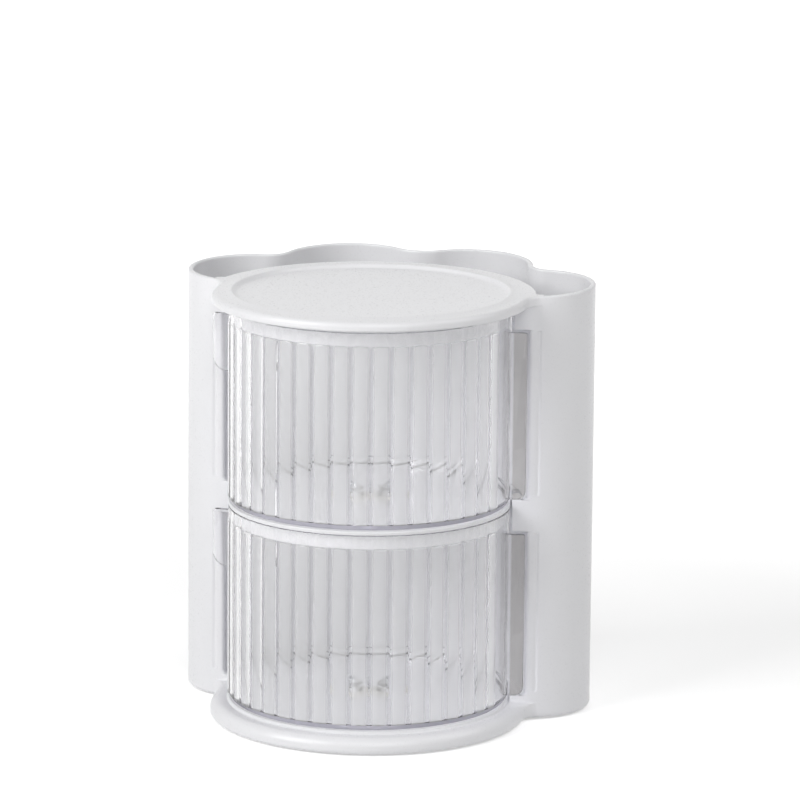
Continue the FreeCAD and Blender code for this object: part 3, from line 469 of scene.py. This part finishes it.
# %% [markdown]
# ## Base, shelf and top tray
#
# These three share a kind of outline: round at the front, running into the wings by a small hollow blend.
# The edge profile is carried along that outline, square to it, and the flat parts are rings around the axis.
# Each bull nose fades along the blend, the base's to nothing and the tray's to the round of the casing's rim, so both
# flow into the wings with no corner. The base is hollow underneath, and short pillars there hold the foot pads.

# %% Rounded fronts
BLEND, FADE_LEAD = 8.0, 6.0


def front_outline(radius, back, back_facing, rear):
    """A closed outline: the round front, a hollow blend on each side, the wing as far as the jamb, then a given back.
    Returns the points, their outward directions, and a softness that is 1 in front and fades to 0 along the blends."""
    centre = crossings(np.zeros(2), radius + BLEND, WING, WING_R + BLEND)[0]
    tangent = bearing((0, 0), centre)
    stop = math.degrees(math.acos((JAMB_X - centre[0]) / BLEND))
    nose, nose_facing = arc_run((0, 0), radius, -90.0, tangent)
    hollow = bend(*centre, BLEND, tangent + 180, stop, 26)
    hollow_facing = (centre - hollow) / BLEND
    side_y = np.linspace(hollow[-1, 1], rear, 5)[1:]
    side = np.stack([np.full_like(side_y, JAMB_X), side_y], -1)
    side_facing = np.tile([1.0, 0.0], (len(side), 1))
    right = np.vstack([nose[:-1], hollow, side, back])
    out = np.vstack([nose_facing[:-1], hollow_facing, side_facing, back_facing])
    lead = radius * (np.arctan2(nose[:-1, 1], nose[:-1, 0]) - math.radians(tangent))
    path = np.concatenate([lead, np.linspace(0, 1, 26) * BLEND * math.radians(tangent + 180 - stop)])
    soft = np.concatenate([1 - ease((path + FADE_LEAD) / (path[-1] + FADE_LEAD)), np.zeros(len(side) + len(back))])
    return (np.vstack([right, (right[::-1] * MIRROR)[1:-1]]), np.vstack([out, (out[::-1] * MIRROR)[1:-1]]),
            np.concatenate([soft, soft[::-1][1:-1]]))


def turned(outline, out, soft, profile, least=0.0):
    """A closed piece from profile rows (kind, reach, height, top). A ring row stands at a radius from the axis, and a
    sole row lies in from the outline by its reach. A nose row does too, and below its top, but both shrink with the
    softness to a least share."""
    ray = outline / np.linalg.norm(outline, axis=1)[:, None]
    shares = {"ring": np.ones_like(soft), "sole": np.ones_like(soft), "nose": least + (1 - least) * soft}
    columns = []
    for kind, reach, height, top in profile:
        flat = ray * reach if kind == "ring" else outline - out * (reach * shares[kind])[:, None]
        columns.append(np.column_stack([flat, top + (height - top) * shares[kind]]))
    return np.stack(columns, 1)


def rings(*points):
    """Profile rows at radii and heights."""
    return [("ring", reach, height, height) for reach, height in points]


def noses(points, top):
    """Profile rows that round an edge whose full height is given."""
    return [("nose", reach, height, top) for reach, height in points]


# %% The base
BASE_R, BASE_NOSE, BASE_FOOT = 69.5, 4.6, 2.0
SEAT_R, SEAT_TOP, HOLLOW_R, HOLLOW_TOP = 61.6, 9.1, 65.5, 5.5
POST_R, POST_RISE = 3.5, 4.4
inner_back = scallops - (WALL + 0.3) * facing
right_half = inner_back[:(len(inner_back) + 1) // 2]
keep = (right_half[:, 1] > FRONT_Y + JAMB_DEPTH) | (right_half[:, 0] > JAMB_X)
base_outline = front_outline(BASE_R, right_half[keep], facing[:len(right_half)][keep], 13.0)


def post_rows(deck):
    """The pivot post on a deck: its flat end, a small chamfer, its side and a hollow at its foot."""
    return rings((0, deck + POST_RISE), (POST_R - 0.4, deck + POST_RISE), (POST_R, deck + POST_RISE - 0.4),
                 (POST_R, deck + 0.5), (POST_R + 0.5, deck))


deck = rings((40, SEAT_TOP), (SEAT_R - 0.4, SEAT_TOP), (SEAT_R, SEAT_TOP - 0.4), (SEAT_R, BASE_TOP + 0.5),
             (SEAT_R + 0.5, BASE_TOP))
nose = noses(bend(BASE_NOSE, BASE_TOP - BASE_NOSE, BASE_NOSE, 90, 180, 14), BASE_TOP)
sole = [("sole", reach, height, FOOT) for reach, height in bend(BASE_FOOT, FOOT + BASE_FOOT, BASE_FOOT, 180, 270)]
under = rings((HOLLOW_R, FOOT), (HOLLOW_R - 0.4, HOLLOW_TOP), (0, HOLLOW_TOP))
base = skin("round_base", turned(*base_outline, post_rows(SEAT_TOP) + deck + nose + sole + under), ring=True)
dress(base, white_abs, "casing", "white_abs", "base_plate")

# %% Pillars that hold the foot pads under the hollow base
PILLAR_WALL, PILLAR_SIDES, PILLAR_SINK = 1.5, 48, 0.3
round_turn = np.radians(np.linspace(0, 360, PILLAR_SIDES, endpoint=False))[:, None]
for name in frame["nodes"]:
    low, high = np.array(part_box(name)) / MM - np.array([0, AXIS_Y / MM, 0])
    middle, pad = (low + high) / 2, (high - low)[0] / 2
    if name.startswith("foot_") and np.hypot(*middle[:2]) < HOLLOW_R + pad:
        reach = np.array([0, pad, pad, pad + PILLAR_WALL, pad + PILLAR_WALL, 0])
        height = np.array([high[2], high[2], FOOT, FOOT, HOLLOW_TOP + PILLAR_SINK, HOLLOW_TOP + PILLAR_SINK])
        table = np.stack([middle[0] + reach * np.cos(round_turn), middle[1] + reach * np.sin(round_turn),
                          np.broadcast_to(height, (PILLAR_SIDES, len(height)))], -1)
        dress(skin(name + "_pillar", table, ring=True), white_abs, "casing", "white_abs")

# %% The shelf between the drums
SHELF_R = 61.6
turn = np.concatenate([np.linspace(-180 - SILL_STOP, SILL_STOP, 217),
                       np.linspace(SILL_STOP + 0.02, 179.98 - SILL_STOP, 110)])
reach = np.where(turn <= SILL_STOP, SHELF_R, HOUSING_IN - 0.3)
shelf_outline = np.stack([reach * np.cos(np.radians(turn)), reach * np.sin(np.radians(turn))], -1)
shelf_out = shelf_outline / reach[:, None]
SKIRT_OUT, SKIRT_IN, SKIRT_EDGE = 58.8, 56.8, 0.4
SHELF_SKIRT_LOW, TRAY_SKIRT_LOW = 88.8, 176.9


def skirt_rows(under, edge):
    """The guide skirt below a plate: down its outer face, round its lower edge and up its inner face."""
    rim = np.vstack([bend(SKIRT_OUT - SKIRT_EDGE, edge + SKIRT_EDGE, SKIRT_EDGE, 0, -90, 5),
                     bend(SKIRT_IN + SKIRT_EDGE, edge + SKIRT_EDGE, SKIRT_EDGE, -90, -180, 5)])
    return rings((SKIRT_OUT + 0.4, under), (SKIRT_OUT, under - 0.4), *rim, (SKIRT_IN, under - 0.4),
                 (SKIRT_IN - 0.4, under), (0, under))


rim_rows = (noses(bend(0.5, SHELF_TOP - 0.5, 0.5, 90, 180, 5), SHELF_TOP)
            + noses(bend(0.2, SHELF_UNDER + 0.2, 0.2, 180, 270, 5), SHELF_UNDER))
shelf_rows = post_rows(SHELF_TOP) + rings((40, SHELF_TOP)) + rim_rows + skirt_rows(SHELF_UNDER, SHELF_SKIRT_LOW)
shelf = skin("middle_shelf", turned(shelf_outline, shelf_out, np.ones(len(turn)), shelf_rows), ring=True)
dress(shelf, white_abs, "casing", "white_abs", "mid_shelf")

# %% The top tray
TRAY_R, TRAY_TOP, TRAY_NOSE = 68.9, 190.4, 2.4
RECESS_R, RECESS_FLOOR = 60.0, 188.6
rear = FRONT_Y + JAMB_DEPTH
cover, cover_facing = arc_run((0, 0), HOUSING_OUT, math.degrees(math.asin(rear / HOUSING_OUT)), 90.0)
tray_outline = front_outline(TRAY_R, cover, cover_facing, rear)
bead = np.array([[0, RECESS_FLOOR], [RECESS_R - 3, RECESS_FLOOR], [RECESS_R - 2.2, RECESS_FLOOR],
                 [RECESS_R - 1.2, RECESS_FLOOR + 0.2], [RECESS_R - 0.5, RECESS_FLOOR + 0.8],
                 [RECESS_R - 0.1, TRAY_TOP - 0.35], [RECESS_R + 0.3, TRAY_TOP - 0.06], [RECESS_R + 0.7, TRAY_TOP],
                 [RECESS_R + 1.2, TRAY_TOP - 0.08], [RECESS_R + 1.9, TRAY_TOP - 0.32],
                 [RECESS_R + 4.0, TRAY_TOP - 0.66]])
edge = noses(bend(TRAY_NOSE, RIM_FRONT - TRAY_NOSE, TRAY_NOSE, 80, 180, 12), RIM_FRONT)
fascia = noses(bend(0.8, TOP_UNDER + 0.8, 0.8, 180, 270, 6), TOP_UNDER)
tray = skin("top_tray", turned(*tray_outline, rings(*bead) + edge + fascia + skirt_rows(TOP_UNDER, TRAY_SKIRT_LOW),
                               least=RIM_ROUND / TRAY_NOSE), ring=True)
dress(tray, white_abs, "casing", "white_abs", "top_plate")

# %% [markdown]
# ## The drums
#
# A drum is one clear moulding: a floor with a low lip all round, a wall over half a turn with rounded reeds on its
# outside, a finger tab at one end and a fin at the other. The reeds end a little below the top, and above them only a
# trace of them goes on. Clear plastic shows every inner face, so the skin has to be a single closed one. Each angle
# gets its own profile loop, which is tall in the wall and low elsewhere, and the plates are joined to it by an exact
# union, which removes what lies inside.

# %% A drum's skin
DRUM_R, VALLEY_R, WALL_IN, DRUM_HEIGHT = 62.0, 61.5, 59.8, 85.6
WALL_HALF, FLUTE_LEFT, FLUTE_PITCH, FLUTES, FLUTE_SHARE = 96.5, 81.5, 8.0, 20, 0.94
FLOOR, LIP, FLUTE_START, FLUTE_STOP, BAND_SHARE, FOOT_R = 2.0, 5.2, 2.0, 79.9, 0.35, 60.6
HUB_R, HUB_TOP, BORE = 5.9, 3.6, 3.56


def reeded(turn):
    """The wall's outer radius at an angle from the front: a circle's bulge over each reed's width, else the valley."""
    local = np.mod(turn + FLUTE_LEFT, FLUTE_PITCH) - FLUTE_PITCH / 2
    half = math.radians(FLUTE_PITCH * FLUTE_SHARE / 2)
    rise = DRUM_R - VALLEY_R * math.cos(half)
    swell = ((VALLEY_R * math.sin(half)) ** 2 + rise ** 2) / (2 * rise)
    middle = DRUM_R - swell
    a = np.radians(np.clip(local, -math.degrees(half), math.degrees(half)))
    bulge = middle * np.cos(a) + np.sqrt(swell ** 2 - (middle * np.sin(a)) ** 2)
    inside = (turn > -FLUTE_LEFT) & (turn < FLUTE_LEFT - 3) & (np.abs(np.radians(local)) < half)
    return np.where(inside, bulge, VALLEY_R)


def drum_table():
    """Profile loops (radius, height) at each angle from the front: outside up, over the top, inside down to the floor,
    in to the hub, down the bore and out along the underside. A row close to each round edge keeps the long flat faces
    beside it from bending light."""
    swell = np.sin(np.linspace(-math.pi / 2, math.pi / 2, 15)) * FLUTE_SHARE / 2
    reed = np.concatenate([np.linspace(-0.5, -FLUTE_SHARE / 2, 3)[:-1], swell,
                           np.linspace(FLUTE_SHARE / 2, 0.5, 3)[1:-1]]) * FLUTE_PITCH
    centres = -FLUTE_LEFT + FLUTE_PITCH * (np.arange(FLUTES) + 0.5)
    fluted = (centres[:, None] + reed).ravel()
    left = np.linspace(-WALL_HALF, -FLUTE_LEFT, 16)[:-1]
    right = np.linspace(fluted[-1], WALL_HALF, 20)[1:]
    back = np.linspace(WALL_HALF + 0.01, 360 - WALL_HALF - 0.01, 70)
    turn = np.concatenate([left, fluted, right, back])
    tall = turn <= WALL_HALF
    outer = np.where(tall, reeded(turn), VALLEY_R)
    top = np.where(tall, DRUM_HEIGHT, LIP)
    stop = np.where(tall, FLUTE_STOP, LIP - 1.5)
    band = VALLEY_R + BAND_SHARE * (outer - VALLEY_R)
    rows = [(FOOT_R - 0.3, 0), (FOOT_R, 0.3), (FOOT_R, FLUTE_START - 0.1), (outer, FLUTE_START + 0.15),
            (outer, stop - 0.9), (outer, stop - 0.5), (band, stop), (band, stop + 0.35), (band, top - 0.5),
            (band, top - 0.2), (band - 0.06, top - 0.06), (band - 0.2, top),
            (WALL_IN + 0.35, top), (WALL_IN + 0.1, top - 0.1), (WALL_IN, top - 0.35), (WALL_IN, top - 0.7),
            (WALL_IN, FLOOR + 1.2), (WALL_IN, FLOOR + 0.8), (WALL_IN - 0.23, FLOOR + 0.23), (WALL_IN - 0.8, FLOOR),
            (WALL_IN - 1.2, FLOOR), (HUB_R + 0.8, FLOOR), (HUB_R + 0.4, FLOOR), (HUB_R, FLOOR + 0.4),
            (HUB_R, HUB_TOP - 0.3), (HUB_R - 0.3, HUB_TOP), (BORE + 0.2, HUB_TOP), (BORE, HUB_TOP - 0.2), (BORE, 0.2),
            (BORE + 0.2, 0)]
    radius, height = [np.stack([np.broadcast_to(row[part], turn.shape) for row in rows], 1) for part in (0, 1)]
    way = np.radians(turn - 90)[:, None]
    return np.stack([radius * np.cos(way), radius * np.sin(way), height], -1)


def plate_table(turn, inner, outer, low, high, thick, lower_round, upper_round):
    """A radial plate with rounded outer corners: its outline in radius and height, repeated across its thickness."""
    corner = np.vstack([[[inner, low]], bend(outer - lower_round, low + lower_round, lower_round, -90, 0),
                        bend(outer - upper_round, high - upper_round, upper_round, 0, 90), [[inner, high]]])
    middle = np.array([(inner + outer) / 2, (low + high) / 2])
    shrink = 1 - 0.3 / np.abs(corner - middle).max(0)
    eased = middle + (corner - middle) * shrink
    way = math.radians(turn - 90)
    along, across = np.array([math.cos(way), math.sin(way)]), np.array([-math.sin(way), math.cos(way)])
    sheets = []
    for outline, depth in ((eased, 0.0), (corner, 0.3), (corner, abs(thick) - 0.3), (eased, abs(thick))):
        flat = outline[:, :1] * along + math.copysign(depth, thick) * across
        sheets.append(np.column_stack([flat, outline[:, 1]]))
    return np.stack(sheets)


def united(piece, others):
    """One skin from several: the exact union of a piece with others, which are then removed."""
    for other in others:
        union = piece.modifiers.new("union", "BOOLEAN")
        union.operation, union.solver, union.object = "UNION", "EXACT", other
    ready = piece.evaluated_get(bpy.context.evaluated_depsgraph_get())
    mesh = bpy.data.meshes.new_from_object(ready)
    name = piece.name
    for old in (piece, *others):
        bpy.data.objects.remove(old)
    return link_piece(name, mesh)


# %% The two drums
TAB_REACH, TAB_TOP, TAB_TALL, FIN_REACH, FIN_LOW = 73.2, 77.4, 26.0, 68.6, 2.0
PLATE_ROOT, PLATE_THICK = 60.4, 2.0
LOWER_UNDER, UPPER_UNDER = 9.6, 97.7
for tier, underside, fin_tall in (("lower", LOWER_UNDER, 72.5), ("upper", UPPER_UNDER, 74.0)):
    lift = np.array([0, 0, underside])
    body = skin(tier + "_reeded_drum", drum_table() + lift, ring=True, tube=True)
    tab_plate = plate_table(-WALL_HALF, PLATE_ROOT, TAB_REACH, TAB_TOP - TAB_TALL, TAB_TOP, PLATE_THICK, 6.5, 1.2)
    fin_plate = plate_table(WALL_HALF, PLATE_ROOT, FIN_REACH, FIN_LOW, FIN_LOW + fin_tall, -PLATE_THICK, 4.0, 1.0)
    tab = skin(tier + "_tab", tab_plate + lift, tube=True)
    fin = skin(tier + "_fin", fin_plate + lift, tube=True)
    drum = united(body, [tab, fin])
    dress(drum, clear_styrene, tier + "_drum", "clear_styrene", tier + "_drum")

# %% [markdown]
# ## Small parts
#
# The washers, caps, screws and feet are right as they come from the CAD, so they only take their finishes.

# %% Finishes for the small parts
for name, node in frame["nodes"].items():
    if node.hide_render:
        continue
    finish = (nylon if "washer" in name else clear_styrene if "cap" in name else zinc_plate if "screw" in name
              else foot_rubber if "foot" in name else white_abs)
    node.data.materials.clear()
    node.data.materials.append(finish)
    print(name, finish.name)

# %% [markdown]
# ## Floor, light and camera
#
# The picture is a plain product shot on white: a soft lamp at the front left, a weaker one higher at the front right,
# one from the right and a faint one behind, which lights only the back of the casing. The floor takes the object's
# shadow. What the eye sees of the floor and the sky is lifted to white for camera, mirror and refracted rays only. The
# floor's lift grows with the distance from the object, so the shadow stays and the object's light stays plain.

# %% Floor and sky
NEAR, FAR, NEAR_LIFT = 0.3, 1.2, 0.45
side = np.linspace(-4000, 4000, 9)
x, y = np.meshgrid(side, side, indexing="ij")
floor = skin("floor", np.stack([x, y, np.zeros_like(x)], -1))
paper, tree, place = new_finish("pale_paper_floor")
fibre = add(tree, "ShaderNodeTexNoise", {"Vector": place, "Scale": pitch(4), "Detail": 2.0})
pale = add(tree, "ShaderNodeValToRGB", {"Fac": fibre.outputs["Fac"]})
pale.color_ramp.elements[0].color, pale.color_ramp.elements[1].color = linear("#F2F2F2"), linear("#F5F5F5")
away = add(tree, "ShaderNodeVectorMath", {0: place}, operation="LENGTH")
level = add(tree, "ShaderNodeMapRange", {"Value": away.outputs["Value"], "From Min": NEAR, "From Max": FAR,
                                         "To Min": NEAR_LIFT, "To Max": 1.0})
lift = add(tree, "ShaderNodeMath", {0: seen_rays(tree).outputs[0], 1: level.outputs["Result"]}, operation="MULTIPLY")
glow = add(tree, "ShaderNodeEmission", {"Strength": lift.outputs[0]})
matt = add(tree, "ShaderNodeBsdfDiffuse", {"Color": pale.outputs["Color"]})
shine(tree, add(tree, "ShaderNodeAddShader", {0: matt.outputs[0], 1: glow.outputs[0]}))
floor.data.materials.append(paper)

sky = bpy.data.worlds.new("white_surround")
bpy.context.scene.world = sky
sky.use_nodes = True
tree = sky.node_tree
tree.nodes.clear()
lit = add(tree, "ShaderNodeBackground", {"Color": (1, 1, 1, 1), "Strength": 0.1})
white = add(tree, "ShaderNodeBackground", {"Color": (1, 1, 1, 1), "Strength": 1.0})
both = add(tree, "ShaderNodeMixShader", {0: seen_rays(tree).outputs[0], 1: lit.outputs[0], 2: white.outputs[0]})
add(tree, "ShaderNodeOutputWorld", {"Surface": both.outputs[0]})

# %% Lamps
LAMP_AWAY, LAMP_SIZE, MIDDLE_UP = 1.6, 1.0, 0.1


def soft_lamp(name, turn, rise, power):
    """A square lamp on a sphere around the object: turn and rise in degrees place it, and it looks at the middle."""
    lamp = bpy.data.lights.new(name, "AREA")
    lamp.energy, lamp.size = power, LAMP_SIZE
    thing = bpy.data.objects.new(name, lamp)
    a, e = math.radians(turn), math.radians(rise)
    back = np.array([math.sin(a) * math.cos(e), -math.cos(a) * math.cos(e), math.sin(e)])
    across = np.array([math.cos(a), math.sin(a), 0.0])
    turned_matrix = Matrix(np.column_stack([across, np.cross(back, across), back]).tolist()).to_4x4()
    turned_matrix.translation = (back * LAMP_AWAY + np.array([0, 0, MIDDLE_UP])).tolist()
    thing.matrix_world = turned_matrix
    bpy.context.scene.collection.objects.link(thing)
    return thing


soft_lamp("key", -42, 30, 15.0)
soft_lamp("high", 27, 40, 6.6)
soft_lamp("side", 100, 45, 5.5)
rear = soft_lamp("rear", 195, 20, 5.0)
rear.visible_glossy = False  # seen from the front, its mirror image would lie on the tray

# %% Camera
AZIMUTH, ELEVATION, ROLL = math.radians(13.84), math.radians(12.16), math.radians(0.48)
DISTANCE, FOCAL_PIXELS, IMAGE_PIXELS, SENSOR = 2344.0, 5390.0, 800.0, 36.0
right = np.array([math.cos(AZIMUTH), math.sin(AZIMUTH), 0.0])
back = np.array([math.sin(AZIMUTH) * math.cos(ELEVATION), -math.cos(AZIMUTH) * math.cos(ELEVATION),
                 math.sin(ELEVATION)])
up = np.cross(back, right)
target = 12.99 * right + np.array([0, 0, 141.55])
columns = [math.cos(ROLL) * right + math.sin(ROLL) * up, math.cos(ROLL) * up - math.sin(ROLL) * right, back]
stand = Matrix(np.column_stack(columns).tolist()).to_4x4()
stand.translation = ((target + DISTANCE * back) * MM + np.array([0, AXIS_Y, 0])).tolist()
lens = bpy.data.cameras.new("camera")
lens.sensor_width = SENSOR
lens.lens = SENSOR * FOCAL_PIXELS / IMAGE_PIXELS
lens.clip_end = 50
camera = bpy.data.objects.new("camera", lens)
camera.matrix_world = stand
bpy.context.scene.collection.objects.link(camera)
bpy.context.scene.camera = camera
bpy.context.scene.view_settings.view_transform = "Standard"
print("camera at", list(stand.translation))
